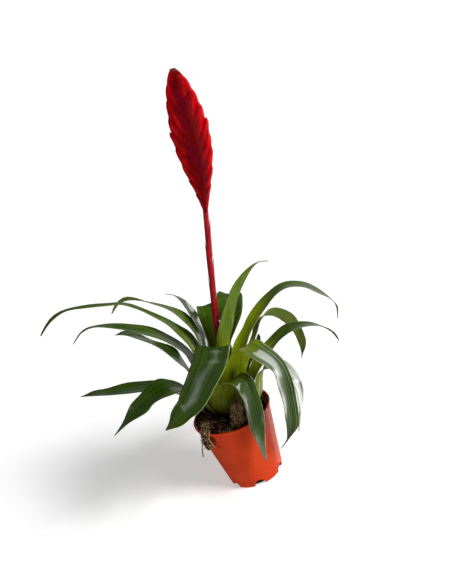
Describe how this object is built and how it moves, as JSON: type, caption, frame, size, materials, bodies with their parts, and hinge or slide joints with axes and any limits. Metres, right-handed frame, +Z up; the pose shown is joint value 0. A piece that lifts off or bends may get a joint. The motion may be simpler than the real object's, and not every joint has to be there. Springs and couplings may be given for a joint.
{
  "type": "potted flaming sword bromeliad",
  "caption": "Potted bromeliad: a rosette of arching strap leaves round a leaning stalk with a flat red sword of bracts, in a small tapered pot.",
  "frame": {"origin": "centre of the pot's flat underside", "axes": "+Z up, -Y towards the side of the rosette with the broad drooping leaf, +X towards the side the crown leans to"},
  "size_m": [0.1972, 0.1191, 0.2773],
  "materials": {
    "pot": "slightly satin terracotta-coloured plastic",
    "soil": "rough, crumbly, damp",
    "leaf": "smooth, glossy upper side",
    "stalk": "smooth, satin",
    "sword": "smooth, satin to glossy"
  },
  "bodies": {
    "root": {"pot": "pot", "potting_mix": "soil", "leaf_01": "leaf", "leaf_02": "leaf", "leaf_03": "leaf", "leaf_04": "leaf", "leaf_05": "leaf", "leaf_06": "leaf", "leaf_07": "leaf", "leaf_08": "leaf", "leaf_09": "leaf", "leaf_10": "leaf", "leaf_11": "leaf", "leaf_12": "leaf", "leaf_13": "leaf", "leaf_14": "leaf", "leaf_15": "leaf", "leaf_16": "leaf", "leaf_17": "leaf", "leaf_18": "leaf", "leaf_19": "leaf", "leaf_20": "leaf", "flower_stalk": "stalk", "flower_sword": "sword"}
  },
  "joints": []
}
